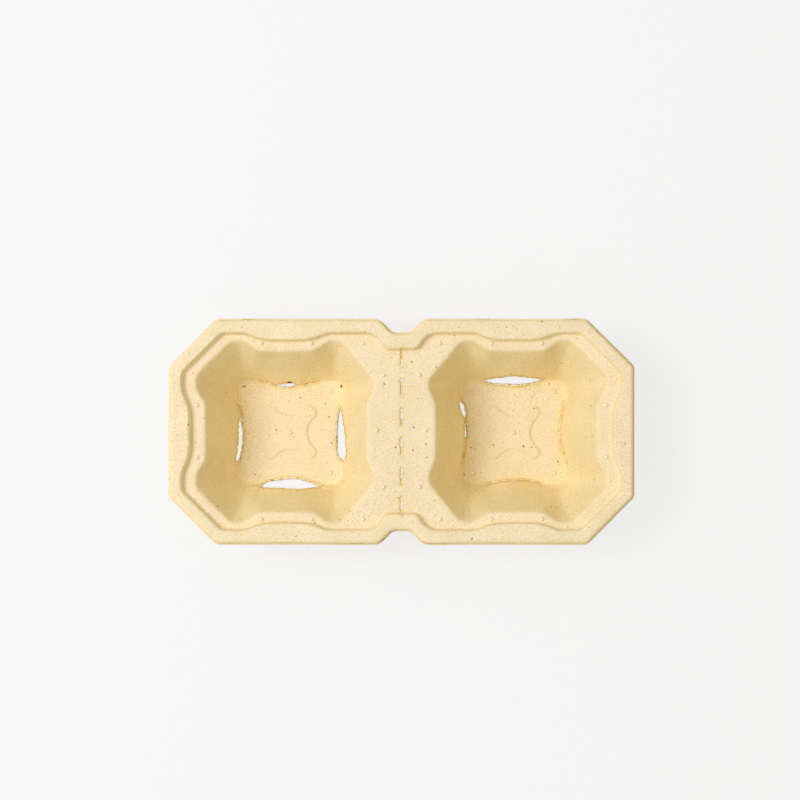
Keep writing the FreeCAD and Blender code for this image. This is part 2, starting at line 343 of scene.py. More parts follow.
# Camera: where it stands and looks in plan, how far above the flange, what it sees from side to side,
# and its far clip in metres
camera_eye = (8.15, -13.1)
camera_aim = (-0.6, 14.5)
camera_distance = 1200.0
seen_width = 367.9
sensor_width = 36.0
camera_clip = 10.0

# Levels that follow
flange_top = overall_height
ledge_top = overall_height - step_drop
floor_top = wall
lip_top = overall_height - skirt_depth + wall
step_end = overall_length / 2 - flange_end_width
step_side = overall_width / 2 - flange_side_width
well_end = step_end - step_end_bulge - ledge_end_width
well_centre = (well_end + bridge_half) / 2
well_half_length = (well_end - bridge_half) / 2
well_half_width = step_side - step_side_bulge - ledge_side_width
rim_end = well_half_length + rim_end_pocket
rim_side = well_half_width + rim_side_pocket
end_bulge_half = rim_side - rim_corner_cut - rim_pocket_width - rim_flank_run
side_bulge_half = rim_end - rim_corner_cut - rim_pocket_width - rim_flank_run
floor_half_length = well_half_length - wall_run
floor_half_width = well_half_width - wall_run
well_depth = ledge_top - floor_top
well_taper = wall_run / well_depth
well_turn = math.pi / 2 - math.atan(well_taper)


# Outlines: corners with rounds, counter-clockwise, turned into straight lines and arcs

def both_sides(upper):
    """The whole outline from its corners on the +Y side."""
    return upper + [(x, -y, radius) for x, y, radius in reversed(upper)]


def all_quarters(quarter):
    """The whole outline from the corners in its +X +Y quarter."""
    return both_sides(quarter + [(-x, y, radius) for x, y, radius in reversed(quarter)])


def directions(corners, index):
    """The directions of the sides that come into a corner and leave it."""
    before = Vector(corners[index - 1][:2])
    here = Vector(corners[index][:2])
    after = Vector(corners[(index + 1) % len(corners)][:2])
    return (here - before).normalized(), (after - here).normalized()


def grow(corners, distance):
    """The outline with every side moved outward, and its rounds kept concentric."""
    grown = []
    for index, (x, y, radius) in enumerate(corners):
        arriving, leaving = directions(corners, index)
        share = distance / (1 + arriving.dot(leaving))
        outward_corner = arriving.cross(leaving) > 0
        new_radius = radius + distance if outward_corner else radius - distance
        grown.append((x + (arriving.y + leaving.y) * share, y - (arriving.x + leaving.x) * share,
                      max(new_radius, least_round)))
    return grown


def outline_parts(corners):
    """The arcs and sides of an outline. Each is (centre, radius, start, sweep) or (from, to)."""
    turns = []
    wanted = []
    for index, (x, y, radius) in enumerate(corners):
        arriving, leaving = directions(corners, index)
        turns.append(arriving.angle_signed(leaving) * -1)
        wanted.append(radius * math.tan(abs(turns[-1]) / 2))
    shares = []
    for index, corner in enumerate(corners):
        following = (index + 1) % len(corners)
        side = math.dist(corner[:2], corners[following][:2])
        shares.append(min(1, side_share * side / (wanted[index] + wanted[following])))
    arcs = []
    for index, corner in enumerate(corners):
        arriving, leaving = directions(corners, index)
        reach = wanted[index] * min(shares[index - 1], shares[index])
        radius = reach / math.tan(abs(turns[index]) / 2)
        way = math.copysign(1, turns[index])
        start = Vector(corner[:2]) - arriving * reach
        normal = Vector((-arriving.y, arriving.x)) * way
        centre = start + normal * radius
        begin = math.atan2(-normal.y, -normal.x)
        end = Vector(corner[:2]) + leaving * reach
        arcs.append(((centre, radius, begin, turns[index]), start, end))
    parts = []
    for index, (arc, _, end) in enumerate(arcs):
        _, next_start, _ = arcs[(index + 1) % len(arcs)]
        parts += [arc, (end, next_start)]
    return parts


def part_length(part):
    return part[1] * abs(part[3]) if len(part) == 4 else (part[1] - part[0]).length


def part_counts(parts, spacing):
    """How many points each arc and side gets."""
    return [max(2 if len(part) == 4 else 1, round(part_length(part) / spacing)) for part in parts]


def loop_points(parts, counts):
    """Points round an outline, with a given number on each of its arcs and sides."""
    points = []
    for part, count in zip(parts, counts):
        for step in range(count):
            share = step / count
            if len(part) == 4:
                centre, radius, begin, sweep = part
                angle = begin + sweep * share
                points.append((centre.x + radius * math.cos(angle), centre.y + radius * math.sin(angle)))
            else:
                point = part[0].lerp(part[1], share)
                points.append((point.x, point.y))
    return np.array(points)


def loop(corners, spacing):
    parts = outline_parts(corners)
    return loop_points(parts, part_counts(parts, spacing))


def is_inside(points, polygon):
    """Which points lie inside a closed polygon."""
    inside = np.zeros(len(points), bool)
    previous = polygon[-1]
    for current in polygon:
        rises = (current[1] > points[:, 1]) != (previous[1] > points[:, 1])
        height = previous[1] - current[1]
        height = height if height != 0 else 1.0
        crossing = current[0] + (points[:, 1] - current[1]) * (previous[0] - current[0]) / height
        inside ^= rises & (points[:, 0] < crossing)
        previous = current
    return inside


def distance_within(points, corners):
    """How far inside an outline each point lies, and less than nothing outside it."""
    parts = outline_parts(corners)
    nearest = np.full(len(points), np.inf)
    for part in parts:
        if len(part) == 4:
            centre, radius, begin, sweep = part
            away = points - np.array(centre)
            angle = np.arctan2(away[:, 1], away[:, 0]) - (begin + sweep / 2)
            angle = np.abs((angle + math.pi) % (2 * math.pi) - math.pi)
            gap = np.abs(np.hypot(away[:, 0], away[:, 1]) - radius)
            gap[angle > abs(sweep) / 2] = np.inf
        else:
            along = np.array(part[1] - part[0])
            away = points - np.array(part[0])
            share = np.clip(away @ along / (along @ along), 0, 1)
            away = away - share[:, None] * along
            gap = np.hypot(away[:, 0], away[:, 1])
        nearest = np.minimum(nearest, gap)
    fine = loop_points(parts, part_counts(parts, line_spacing))
    return np.where(is_inside(points, fine), nearest, -nearest)


def edge_corners():
    half_length = overall_length / 2
    half_width = overall_width / 2
    return all_quarters([
        (half_length, half_width - corner_leg, corner_round),
        (half_length - corner_leg, half_width, corner_round),
        (notch_mouth_half, half_width, notch_mouth_round),
        (notch_floor_half, half_width - notch_depth, notch_floor_round),
    ])


def step_corners():
    end_bulge = end_bulge_half - step_bulge_inset
    side_bulge = side_bulge_half - step_bulge_inset
    return all_quarters([
        (step_end - step_end_bulge, end_bulge, step_bulge_round),
        (step_end, end_bulge + step_flank_run, step_pocket_round),
        (step_end, step_side - step_corner_cut, step_corner_round),
        (step_end - step_corner_cut, step_side, step_corner_round),
        (well_centre + side_bulge + step_flank_run, step_side, step_pocket_round),
        (well_centre + side_bulge, step_side - step_side_bulge, step_bulge_round),
        (well_centre - side_bulge, step_side - step_side_bulge, step_bulge_round),
        (well_centre - side_bulge - step_flank_run, step_side, step_pocket_round),
        (step_bridge_half + step_bridge_flank, step_side, step_bridge_mouth_round),
        (step_bridge_half, step_side - step_bridge_bulge, step_bridge_round),
    ])


def rim_corners():
    """The rim of the +X well, from its end round to the bridge. The other well mirrors it."""
    bridge = well_half_length + rim_bridge_pocket
    end_pocket_start = end_bulge_half + rim_flank_run
    side_pocket_start = side_bulge_half + rim_flank_run
    return both_sides([
        (well_half_length, end_bulge_half, rim_bulge_round),
        (rim_end, end_pocket_start, rim_pocket_round),
        (rim_end, rim_side - rim_corner_cut, rim_corner_round),
        (rim_end - rim_corner_cut, rim_side, rim_corner_round),
        (side_pocket_start, rim_side, rim_pocket_round),
        (side_bulge_half, well_half_width, rim_bulge_round),
        (-side_bulge_half, well_half_width, rim_bulge_round),
        (-side_pocket_start, rim_side, rim_pocket_round),
        (rim_corner_cut - rim_end, rim_side, rim_corner_round),
        (-bridge, rim_side - rim_corner_cut - rim_bridge_lean, rim_corner_round),
        (-bridge, end_pocket_start, rim_pocket_round),
        (-well_half_length, end_bulge_half, rim_bulge_round),
    ])


def floor_corners():
    end = floor_half_length + floor_pocket
    side = floor_half_width + floor_pocket
    pocket_start = floor_bulge_half + floor_flank_run
    return all_quarters([
        (floor_half_length, floor_bulge_half, floor_bulge_round),
        (end, pocket_start, floor_pocket_round),
        (end, side - floor_corner_cut, floor_corner_round),
        (end - floor_corner_cut, side, floor_corner_round),
        (pocket_start, side, floor_pocket_round),
        (floor_bulge_half, floor_half_width, floor_bulge_round),
    ])


def cross_corners():
    corners = []
    waist = cross_arm_half * math.sqrt(2)
    for quarter_turn in range(4):
        angle = math.radians(90 * quarter_turn)
        corners.append((waist * math.cos(angle), waist * math.sin(angle), cross_waist_round))
        along = Vector((math.cos(angle + math.pi / 4), math.sin(angle + math.pi / 4)))
        across = Vector((-along.y, along.x))
        for side in (-1, 1):
            tip = along * cross_reach + across * (side * cross_arm_half)
            corners.append((tip.x, tip.y, cross_tip_round))
    return corners


# Holes: the slits and the perforation, with torn edges

def through_stations(places, values, along):
    """A smooth curve through the stations of a slit, by cubic pieces."""
    slopes = np.gradient(values, places)
    piece = np.clip(np.searchsorted(places, along) - 1, 0, len(places) - 2)
    span = places[piece + 1] - places[piece]
    share = (along - places[piece]) / span
    rest = 1 - share
    bend = share * rest * span * (rest * slopes[piece] - share * slopes[piece + 1])
    from_start = values[piece] * rest ** 2 * (1 + 2 * share)
    from_end = values[piece + 1] * share ** 2 * (1 + 2 * rest)
    return from_start + from_end + bend


def noise_along(places, index, kind):
    """Uneven values along a slit or cut, by one of the kinds of noise at the top."""
    cells, stride, layer, fall, step, octaves = kind
    return np.array([noise.fractal((v * cells, index * stride, layer), fall, step, octaves) for v in places])


def slit_sides(index):
    """Places along a slit, and how far out its floor edge and its wall edge lie there."""
    places, floor_side, wall_side = np.array(slits[index][2]).T
    count = round((places[-1] - places[0]) / tear_spacing)
    along = np.linspace(places[0], places[-1], count + 1)
    inner = through_stations(places, floor_side, along)
    outer = np.maximum(through_stations(places, wall_side, along), inner)
    share = np.linspace(0, 1, count + 1)
    ends = np.sqrt(4 * share * (1 - share))
    shared = noise_along(along, index, slit_wave_noise) * tear_wave * ends
    room = np.minimum(tear_teeth, (outer - inner) * tear_teeth_share)
    inner = inner + shared + noise_along(along, index, floor_teeth_noise) * room
    outer = outer + shared + noise_along(along, index, wall_teeth_noise) * room
    return along, inner, np.maximum(outer, inner + tear_least_gap * ends)


def slit_loop(index):
    """One slit in plan, counter-clockwise."""
    well, quarter_turns, _ = slits[index]
    along, inner, outer = slit_sides(index)
    outward = np.column_stack((outer, along))
    back = np.column_stack((inner, along))[-2:0:-1]
    lens = np.concatenate((outward, back))
    angle = math.radians(90 * quarter_turns)
    turn = np.array(((math.cos(angle), math.sin(angle)), (-math.sin(angle), math.cos(angle))))
    return lens @ turn + np.array((well * well_centre, 0))


def cut_loop(index):
    """One blade cut of the perforation in plan, open along some stretches and all but shut between."""
    middle = cut_pitch * (index - (cut_count - 1) / 2)
    along = np.linspace(-cut_length / 2, cut_length / 2, round(cut_length / tear_spacing) + 1)
    opened = np.zeros(len(along))
    for start, end, share in cut_openings[index]:
        stretch = smooth((along - start) / tear_spacing) * smooth((end - along) / tear_spacing)
        opened = np.maximum(opened, share * stretch)
    half = (cut_shut_width + (cut_width - cut_shut_width) * opened) / 2
    wave = noise_along(along, index, cut_wave_noise) * cut_wave
    teeth = noise_along(along, index, cut_teeth_noise) * half
    half[[0, -1]] = 0
    right = np.column_stack((wave + half, along + middle))
    left = np.column_stack((wave - half + teeth, along + middle))[-2:0:-1]
    return np.concatenate((right, left))


# Heights of the mould

def round_drop(distance, radius):
    """Depth below a flat, at a distance past the flat's edge, over a round into the tapered wall."""
    setback = radius * math.tan(well_turn / 2)
    across = np.clip(distance + setback, 0, radius * math.sin(well_turn))
    curve = radius - np.sqrt(radius ** 2 - across ** 2)
    straight = distance / well_taper
    return np.where(distance > radius * math.sin(well_turn) - setback, straight, curve)


def smooth(value):
    value = np.clip(value, 0, 1)
    return value * value * (3 - 2 * value)


def mould_heights(points):
    """The height of the upper skin over each point in plan."""
    heights = np.full(len(points), flange_top)
    share = distance_within(points, step_corners()) / step_run + 0.5
    heights -= step_drop * (1 - np.cos(math.pi * np.clip(share, 0, 1))) / 2
    side = np.where(points[:, 0] < 0, -1.0, 1.0)
    local = np.column_stack((np.abs(points[:, 0]) - well_centre, points[:, 1]))
    from_rim = well_taper * round_drop(distance_within(local, rim_corners()), rim_edge_round)
    from_floor = well_taper * round_drop(-distance_within(local, floor_corners()), floor_edge_round)
    heights -= well_depth * from_rim / np.maximum(from_rim + from_floor, tiny)
    heights += cross_height * smooth(distance_within(local, cross_corners()) / cross_flank + 0.5)
    for x, y in pimple_spots:
        away = np.hypot(local[:, 0] - x, local[:, 1] - y)
        heights += pimple_height * smooth((pimple_radius - away) / pimple_flank + 0.5)
    real = local * np.column_stack((side, np.ones(len(side))))
    for index, (well, _, _) in enumerate(slits):
        in_well = side == well
        heights[in_well] += slit_relief(real[in_well], index)
    return heights - cut_dents(points)


def cut_dents(points):
    """How far the blade has pressed the pulp down along each cut of the perforation."""
    number = np.clip(np.round(points[:, 1] / cut_pitch - 0.5), -cut_count / 2, cut_count / 2 - 1)
    along = np.abs(points[:, 1] - (number + 0.5) * cut_pitch)
    ends = smooth((cut_length / 2 - along) / dent_width)
    return dent_depth * ends * np.exp(-(points[:, 0] / dent_width) ** 2)


def slit_relief(local, index):
    """The lifted edge of the floor, and the groove that the wall has got beside a wide slit."""
    quarter_turns = slits[index][1]
    angle = math.radians(90 * quarter_turns)
    across = local[:, 0] * math.cos(angle) + local[:, 1] * math.sin(angle)
    along = local[:, 1] * math.cos(angle) - local[:, 0] * math.sin(angle)
    places, inner, outer = slit_sides(index)
    floor_edge = np.interp(along, places, inner, left=np.inf, right=np.inf)
    wall_edge = np.interp(along, places, outer, left=np.inf, right=np.inf)
    ends = smooth((along - places[0]) / relief_run) * smooth((places[-1] - along) / relief_run)
    on_floor = (across > 0) & (across <= floor_edge + edge_slack)
    lift = lifted_height * ends * smooth(1 - (floor_edge - across) / lifted_reach) * on_floor
    beyond = across - wall_edge
    width = np.clip((wall_edge - floor_edge) / groove_full_width, groove_least_share, 1)
    groove = -groove_depth * ends * width * np.exp(-((beyond - groove_distance) / groove_width) ** 2)
    return np.nan_to_num(lift) + np.where((beyond > 0) & np.isfinite(beyond), groove, 0)


# The skin in plan

def hex_grid(spacing, low, high):
    """A grid of staggered rows."""
    row_step = spacing * math.sqrt(3) / 2
    rows = np.arange(low[1], high[1], row_step)
    points = []
    for number, y in enumerate(rows):
        xs = np.arange(low[0] + (number % 2) * spacing / 2, high[0], spacing)
        points.append(np.column_stack((xs, np.full(len(xs), y))))
    return np.concatenate(points)


def gaps_to(points, lines):
    """How far each point lies in plan from the nearest point of some lines."""
    line_points = np.concatenate(lines)
    tree = kdtree.KDTree(len(line_points))
    for index, (x, y) in enumerate(line_points):
        tree.insert((x, y, 0), index)
    tree.balance()
    return np.array([tree.find((x, y, 0))[2] for x, y in points])


def clear_of(points, lines, clearance, reach=math.inf):
    """The points that keep a distance from the lines, but lie within reach of them."""
    gaps = gaps_to(points, lines)
    return points[(gaps > clearance) & (gaps < reach)]


def plan_lines():
    """The lines that the triangles follow: step, rims, feet and crosses."""
    lines = []
    for share in step_lines:
        lines.append(loop(grow(step_corners(), step_run * share), line_spacing))
    setback = rim_edge_round * math.tan(well_turn / 2)
    end = rim_edge_round * math.sin(well_turn) - setback
    for well in (-1, 1):
        centre = np.array((well * well_centre, 0))
        for share in round_lines:
            distance = setback + (-end - setback) * share
            lines.append(loop(grow(rim_corners(), distance), line_spacing) + centre)
            lines.append(loop(grow(floor_corners(), -distance), line_spacing) + centre)
        for share in cross_lines:
            lines.append(loop(grow(cross_corners(), cross_flank * share), line_spacing) + centre)
    return lines


def grids(lines, holes, border):
    """Points between the lines: a coarse grid, and a fine one beside the tears and creases."""
    low = np.array((-overall_length / 2, -overall_width / 2))
    grid = hex_grid(grid_spacing, low, -low)
    grid = clear_of(grid[is_inside(grid, border)], lines + [border], line_clearance)
    grid = clear_of(grid, holes, tear_grid_reach)
    fine = hex_grid(tear_grid_spacing, low, -low)
    near = np.zeros(len(fine), bool)
    for hole in holes:
        above = fine > hole.min(0) - tear_grid_reach
        below = fine < hole.max(0) + tear_grid_reach
        near |= np.all(above & below, axis=1)
    fine = clear_of(fine[near], holes, tear_clearance, tear_grid_reach)
    fine = clear_of(np.concatenate([fine] + crease_lines()), lines, fine_clearance)
    return np.concatenate((grid, fine))


def pimple_dots():
    """Points on each pimple's tip, shoulder and foot."""
    radii = (0.0, pimple_radius - pimple_flank / 2, pimple_radius, pimple_radius + pimple_flank / 2)
    angles = np.linspace(0, 2 * math.pi, pimple_ring, endpoint=False)
    ring = [(radius * math.cos(angle), radius * math.sin(angle)) for radius in radii for angle in angles]
    dots = []
    for well in (-1, 1):
        for x, y in pimple_spots:
            dots += [(well * (well_centre + x) + out, y + up) for out, up in ring]
    return dots


def plan_mesh(border):
    """Points and triangles of the skin in plan, inside the border and outside the holes."""
    lines = plan_lines()
    holes = [slit_loop(index) for index in range(len(slits))]
    holes += [cut_loop(index) for index in range(cut_count)]
    points = []
    edges = []
    for closed in [border] + lines + holes:
        first = len(points)
        points += [Vector(point) for point in closed]
        edges += [(first + step, first + (step + 1) % len(closed)) for step in range(len(closed))]
    points += [Vector(point) for point in grids(lines, holes, border)]
    points += [Vector(point) for point in pimple_dots()]
    found, _, faces, origins, _, _ = delaunay_2d_cdt(points, edges, [], 0, same_point, True)
    found = np.array([tuple(point) for point in found])
    faces = np.array(faces)
    middles = found[faces].mean(axis=1)
    keep = is_inside(middles, border)
    for hole in holes:
        keep &= ~is_inside(middles, hole)
    place = {}
    for index, sources in enumerate(origins):
        for source in sources:
            place[source] = index
    border_places = [place[index] for index in range(len(border))]
    return found, faces[keep], border_places, holes


def edge_profile():
    """Inset from the trim line and height, from the flange's border down to the trim lip's foot."""
    slope = math.tan(math.radians(skirt_draft))
    turn = math.radians(90 - skirt_draft)
    sharp = lip_width + (flange_top - lip_top) * slope
    flat = sharp + shoulder_round * math.tan(turn / 2)
    profile = []
    for share in shoulder_lines:
        angle = turn * share
        drop = shoulder_round * (1 - math.cos(angle))
        profile.append((flat - shoulder_round * math.sin(angle), flange_top - drop))
    side_top = profile[-1][1]
    for share in skirt_lines:
        height = side_top + (lip_top - side_top) * share
        profile.append((lip_width + (height - lip_top) * slope, height))
    profile += [(lip_width, lip_top + lip_edge), (lip_width - lip_edge, lip_top)]
    profile += [(2 * lip_edge, lip_top), (0.0, lip_top - 2 * lip_edge)]
    return profile


def upper_skin():
    """The vertices and triangles of the upper skin."""
    profile = edge_profile()
    edge_parts = outline_parts(edge_corners())
    counts = part_counts(edge_parts, line_spacing)
    rings = [loop_points(outline_parts(grow(edge_corners(), -inset)), counts) for inset, _ in profile]
    plan, faces, ring_places, holes = plan_mesh(rings[0])
    vertices = np.column_stack((plan, mould_heights(plan)))
    triangles = [faces]
    for ring, (_, height) in zip(rings[1:], profile[1:]):
        places = list(range(len(vertices), len(vertices) + len(ring)))
        vertices = np.concatenate((vertices, np.column_stack((ring, np.full(len(ring), height)))))
        band = []
        for step in range(len(ring)):
            following = (step + 1) % len(ring)
            band.append((ring_places[step], places[step], places[following]))
            band.append((ring_places[step], places[following], ring_places[following]))
        triangles.append(np.array(band))
        ring_places = places
    used, compact = np.unique(np.concatenate(triangles), return_inverse=True)
    return vertices[used], compact.reshape(-1, 3), holes


def vertex_normals(vertices, triangles):
    a, b, c = (vertices[triangles[:, column]] for column in range(3))
    face_normals = np.cross(b - a, c - a)
    normals = np.zeros_like(vertices)
    for column in range(3):
        np.add.at(normals, triangles[:, column], face_normals)
    return normals / np.maximum(np.linalg.norm(normals, axis=1), tiny)[:, None]


def roughness_of(vertices):
    """How far the pulp's unevenness moves each vertex along its normal."""
    amounts = np.zeros(len(vertices))
    for height, cells, layer, octaves in unevenness:
        places = vertices * cells + (0, 0, layer)
        amounts += [height * noise.fractal(place, uneven_fall, uneven_step, octaves) for place in places]
    return amounts


def crease_lines():
    """Points along each crease, as close as the mesh beside a tear."""
    lines = []
    for well, corners in creases:
        for (x, y), (next_x, next_y) in zip(corners, corners[1:]):
            count = math.ceil(math.dist((x, y), (next_x, next_y)) / tear_grid_spacing)
            share = np.linspace(0, 1, count, endpoint=False)[:, None]
            start = np.array((well * well_centre + x, y))
            lines.append(start + share * np.array((next_x - x, next_y - y)))
    return lines


def crease_share(vertices):
    """One on a crease, and nothing from its edge on."""
    return np.maximum(1 - gaps_to(vertices[:, :2], crease_lines()) / crease_width, 0)


def pimple_share(vertices):
    """One on a pimple's tip, and nothing from its foot on."""
    away = np.full(len(vertices), pimple_radius)
    for x, y in pimple_spots:
        gap = np.hypot(np.abs(vertices[:, 0]) - well_centre - x, vertices[:, 1] - y)
        away = np.minimum(away, gap)
    return smooth(2 - 2 * away / pimple_radius)


def scorch_share(vertices):
    """One in the middle of a scorched spot, and nothing outside it."""
    share = np.zeros(len(vertices))
    for well, (x, y), (half_length, half_width), level in scorches:
        along = (vertices[:, 0] - well * well_centre - x) / half_length
        across = (vertices[:, 1] - y) / half_width
        share = np.maximum(share, level * smooth(scorch_reach - np.hypot(along, across)))
    return share


def well_shade_share(vertices, normals):
    """One on the steep walls and nothing on the flats, fading in over the floor's edge low in the wells:
    painted shade, a yellower tone standing in for the shade inside the wells.
    """
    local = np.column_stack((np.abs(vertices[:, 0]) - well_centre, vertices[:, 1]))
    steep = smooth((1 - normals[:, 2]) / steep_limit)
    # Painted shade round the foot of the walls, where the walls shade the floor
    fold = smooth(1 - distance_within(local, floor_corners()) / fold_reach)
    return np.maximum(steep, fold * (vertices[:, 2] < ledge_top / 2))


def trim_share(vertices):
    """One on the cut lip round the foot of the skirt."""
    inset = distance_within(vertices[:, :2], edge_corners())
    below_shoulder = vertices[:, 2] < flange_top - shoulder_round
    return smooth((lip_width - inset) / trim_fade + 0.5) * below_shoulder


def doubled(vertices, triangles):
    """The skin and its other side, joined round every open edge."""
    normals = vertex_normals(vertices, triangles)
    under = vertices - normals * wall
    under[:, 2] = np.maximum(under[:, 2], 0.0)
    count = len(vertices)
    sides = np.concatenate([triangles[:, [0, 1]], triangles[:, [1, 2]], triangles[:, [2, 0]]])
    codes = sides[:, 0] * count + sides[:, 1]
    open_sides = sides[~np.isin(codes, sides[:, 1] * count + sides[:, 0])]
    start, end = open_sides[:, 0], open_sides[:, 1]
    closing = np.concatenate((np.column_stack((end, start, start + count)),
                              np.column_stack((end, start + count, end + count))))
    return (np.concatenate((vertices, under)),
            np.concatenate((triangles, triangles[:, ::-1] + count, closing)))


def carrier_mesh():
    vertices, triangles, holes = upper_skin()
    normals = vertex_normals(vertices, triangles)
    vertices = vertices + normals * roughness_of(vertices)[:, None]
    shares = {
        "torn": np.minimum(gaps_to(vertices[:, :2], holes), torn_limit),
        "pale": np.maximum(crease_share(vertices), pimple_share(vertices)),
        "scorch": scorch_share(vertices),
        # Painted shade: where the wells' yellower shade tone goes
        "well_shade": well_shade_share(vertices, normals),
        "trim": trim_share(vertices),
    }
    vertices, triangles = doubled(vertices, triangles)
    mesh = bpy.data.meshes.new("carrier_pulp")
    mesh.vertices.add(len(vertices))
    mesh.vertices.foreach_set("co", (vertices * MM).ravel())
    mesh.loops.add(len(triangles) * 3)
    mesh.loops.foreach_set("vertex_index", triangles.ravel())
    mesh.polygons.add(len(triangles))
    mesh.polygons.foreach_set("loop_start", np.arange(0, len(triangles) * 3, 3))
    mesh.polygons.foreach_set("use_smooth", np.ones(len(triangles), bool))
    mesh.update(calc_edges=True)
    mesh.validate()
    for name, values in shares.items():
        attribute = mesh.attributes.new(name, "FLOAT", "POINT")
        attribute.data.foreach_set("value", np.concatenate((values, values)).astype(np.float32))
    print("triangles", len(triangles), "vertices", len(vertices))
    return mesh


# Pulp

def node(tree, kind, inputs, **settings):
    """A node with its settings, and with each named input given a value or linked to a socket."""
    made = tree.nodes.new(kind)
    for name, value in settings.items():
        setattr(made, name, value)
    for name, value in inputs.items():
        if isinstance(value, bpy.types.NodeSocket):
            tree.links.new(value, made.inputs[name])
        else:
            made.inputs[name].default_value = value
    return made


def maths(tree, operation, first, second):
    return node(tree, "ShaderNodeMath", {0: first, 1: second}, operation=operation).outputs[0]


def between(tree, value, low, high):
    """Nothing at the low end, one at the high end, smooth between them."""
    inputs = {"Value": value, "From Min": low, "From Max": high}
    return node(tree, "ShaderNodeMapRange", inputs, interpolation_type="SMOOTHSTEP").outputs["Result"]


def blend(tree, factor, first, second, blend_type="MIX"):
    """Two colours mixed by a factor."""
    inputs = {0: factor, 6: first, 7: second}
    return node(tree, "ShaderNodeMix", inputs, data_type="RGBA", blend_type=blend_type).outputs[2]


def scaled(tree, value, factor):
    return maths(tree, "MULTIPLY", value, factor)


def grain(tree, place, size, detail):
    """Noise with features of a given size in millimetres."""
    inputs = {"Vector": place, "Scale": 1 / (size * MM), "Detail": detail}
    return node(tree, "ShaderNodeTexNoise", inputs).outputs["Fac"]


def attribute_of(tree, name):
    return node(tree, "ShaderNodeAttribute", {}, attribute_name=name).outputs["Fac"]


def stretched(tree, place, turn):
    """The place turned about the upright and squeezed, so that noise on it runs in streaks."""
    squeeze = (1 / fibre_length, 1 / fibre_width, 1 / fibre_width)
    inputs = {"Vector": place, "Rotation": fibre_tilt + (math.radians(turn),), "Scale": squeeze}
    return node(tree, "ShaderNodeMapping", inputs).outputs["Vector"]


def vector_maths(tree, operation, inputs):
    return node(tree, "ShaderNodeVectorMath", inputs, operation=operation).outputs[0]


def wandering(tree, place, size, amount):
    """The place pushed about by noise, so that spots and streaks come out uneven."""
    inputs = {"Vector": place, "Scale": 1 / (size * MM), "Detail": 1.0}
    push = node(tree, "ShaderNodeTexNoise", inputs).outputs["Color"]
    centred = vector_maths(tree, "SUBTRACT", {0: push, 1: (0.5, 0.5, 0.5)})
    moved = vector_maths(tree, "SCALE", {0: centred, "Scale": amount * MM})
    return vector_maths(tree, "ADD", {0: place, 1: moved})


def specks(tree, place, spacing, least, most):
    """Spots spread through the pulp at a mean spacing, and a random tone for each."""
    found = node(tree, "ShaderNodeTexVoronoi", {"Vector": place, "Scale": 1 / (spacing * MM)})
    tones = node(tree, "ShaderNodeSeparateColor", {"Color": found.outputs["Color"]})
    growth = scaled(tree, tones.outputs[0], (most - least) / spacing)
    radius = maths(tree, "ADD", least / spacing, growth)
    share = maths(tree, "DIVIDE", found.outputs["Distance"], radius)
    return between(tree, share, *speck_edge), tones.outputs[1]


def tinted(tree, place, colour, kind, tints):
    """The colour multiplied by one tint or another, by noise of one of the kinds at the top."""
    size, detail, low, high = kind
    share = between(tree, grain(tree, place, size, detail), low, high)
    return blend(tree, 1.0, colour, blend(tree, share, *tints), "MULTIPLY")


def pulp_colour(tree, place):
    """The colour of the pulp, from its broad tone down to its grain, fibres and specks."""
    # Painted shade: the wells' walls and the floors' edges get a yellower tone
    colour = blend(tree, attribute_of(tree, "well_shade"), flat_tone, well_shade_tone)
    colour = tinted(tree, place, colour, clouds, cloud_tints)
    colour = blend(tree, attribute_of(tree, "trim"), colour, trim_tone)
    colour = tinted(tree, place, colour, fine_grain, grain_tints)
    bent = wandering(tree, place, fibre_bend_size, fibre_bend)
    for turn in fibre_turns:
        streaks = between(tree, grain(tree, stretched(tree, bent, turn), 1.0, 1.0), *fibre_levels)
        colour = blend(tree, scaled(tree, streaks, fibre_share), colour, fibre_tone)
    uneven = wandering(tree, place, speck_bend_size, speck_bend)
    for spacing, least, most, pale, dark in speck_kinds:
        mask, tone = specks(tree, uneven, spacing, least, most)
        colour = blend(tree, mask, colour, blend(tree, tone, pale, dark))
    return colour


def torn_colour(tree, place, colour):
    """Pale loose fibres right at a torn edge, then an ochre line, both broken up by noise."""
    ragged = grain(tree, place, ragged_size, ragged_detail)
    distance = maths(tree, "ADD", attribute_of(tree, "torn"), scaled(tree, ragged, ragged_reach))
    ochre = scaled(tree, between(tree, distance, *ochre_range), ochre_share)
    colour = blend(tree, ochre, colour, torn_dark_tone)
    pale = scaled(tree, between(tree, distance, *pale_range), pale_share)
    colour = blend(tree, pale, colour, torn_pale_tone)
    # Paler on the pimples' tips and along the creases, broken up by noise
    pale_mark = between(tree, scaled(tree, attribute_of(tree, "pale"), ragged), *pale_mark_range)
    colour = blend(tree, pale_mark, colour, torn_pale_tone)
    burnt = maths(tree, "ADD", attribute_of(tree, "scorch"), scaled(tree, ragged, scorch_ragged))
    colour = blend(tree, between(tree, burnt, *orange_range), colour, orange_tone)
    return blend(tree, between(tree, burnt, *burnt_range), colour, scorch_tone)


def pulp_material():
    material = bpy.data.materials.new("pulp")
    material.use_nodes = True
    tree = material.node_tree
    shader = tree.nodes["Principled BSDF"]
    place = node(tree, "ShaderNodeTexCoord", {}).outputs["Object"]
    colour = torn_colour(tree, place, pulp_colour(tree, place))
    tree.links.new(colour, shader.inputs["Base Color"])
    broad = scaled(tree, grain(tree, place, *bump_broad), bump_broad_share)
    height = maths(tree, "ADD", grain(tree, place, *bump_fine), broad)
    bump = node(tree, "ShaderNodeBump", {"Height": height, "Strength": 1.0, "Distance": bump_depth * MM})
    tree.links.new(bump.outputs["Normal"], shader.inputs["Normal"])
    shader.inputs["Roughness"].default_value = pulp_roughness
    shader.inputs["Specular IOR Level"].default_value = pulp_specular
    return material


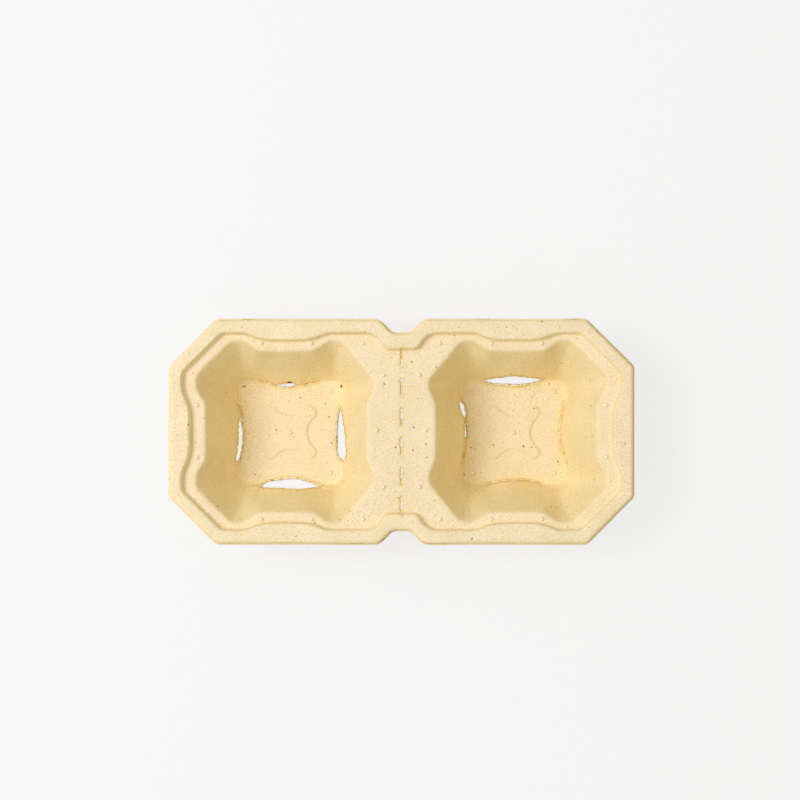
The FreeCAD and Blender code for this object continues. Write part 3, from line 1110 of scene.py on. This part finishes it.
def carrier():
    piece = bpy.data.objects.new("carrier_pulp", carrier_mesh())
    bpy.context.scene.collection.objects.link(piece)
    piece.data.materials.append(pulp_material())
    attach(piece, "root")
    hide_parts("carrier_tray")


# Stage, camera and light

def table():
    mesh = bpy.data.meshes.new("table")
    square = ((-1, -1), (1, -1), (1, 1), (-1, 1))
    corners = [(x * table_half, y * table_half, -table_gap * MM) for x, y in square]
    mesh.from_pydata(corners, [], [(0, 1, 2, 3)])
    top = bpy.data.objects.new("table", mesh)
    bpy.context.scene.collection.objects.link(top)
    mesh.materials.append(table_material())


def table_material():
    """A pale matt table that reads as near white to the camera and keeps a faint shadow."""
    material = bpy.data.materials.new("table")
    material.use_nodes = True
    tree = material.node_tree
    tree.nodes.clear()
    matt = node(tree, "ShaderNodeBsdfDiffuse", {"Color": table_tone}).outputs[0]
    glow = node(tree, "ShaderNodeEmission", {"Color": (1, 1, 1, 1), "Strength": table_light}).outputs[0]
    rays = node(tree, "ShaderNodeLightPath", {}).outputs
    seen = maths(tree, "MAXIMUM", rays["Is Camera Ray"], rays["Is Glossy Ray"])
    seen = maths(tree, "MAXIMUM", seen, rays["Is Transmission Ray"])
    share = maths(tree, "MULTIPLY", seen, 1 - table_shadow_share)
    mixed = node(tree, "ShaderNodeMixShader", {0: share, 1: matt, 2: glow}).outputs[0]
    node(tree, "ShaderNodeOutputMaterial", {"Surface": mixed})
    return material


def camera():
    data = bpy.data.cameras.new("camera")
    data.sensor_width = sensor_width
    data.lens = sensor_width * camera_distance / seen_width
    data.clip_end = camera_clip
    eye = Vector((*camera_eye, flange_top + camera_distance)) * MM
    aim = Vector((*camera_aim, flange_top)) * MM
    backward = (eye - aim).normalized()
    right = Vector((0, 1, 0)).cross(backward).normalized()
    up = backward.cross(right)
    camera_object = bpy.data.objects.new("camera", data)
    camera_object.matrix_world = Matrix((
        (right.x, up.x, backward.x, eye.x),
        (right.y, up.y, backward.y, eye.y),
        (right.z, up.z, backward.z, eye.z),
        (0, 0, 0, 1)))
    bpy.context.scene.collection.objects.link(camera_object)
    bpy.context.scene.camera = camera_object


def key_lamp():
    """A round lamp that looks at the middle of the table."""
    data = bpy.data.lights.new("key", "AREA")
    data.shape = "DISK"
    data.size = key_size
    data.energy = key_power
    data.color = key_tint
    lamp = bpy.data.objects.new("key", data)
    lamp.location = key_place
    lamp.rotation_euler = (-Vector(key_place)).to_track_quat("-Z", "Y").to_euler()
    bpy.context.scene.collection.objects.link(lamp)


def sky():
    """An even glow from all sides."""
    world = bpy.data.worlds.new("world")
    bpy.context.scene.world = world
    world.use_nodes = True
    background = world.node_tree.nodes["Background"]
    background.inputs["Color"].default_value = world_tint
    background.inputs["Strength"].default_value = world_strength


bpy.context.scene.view_settings.view_transform = "Standard"
camera()
key_lamp()
sky()
table()
carrier()
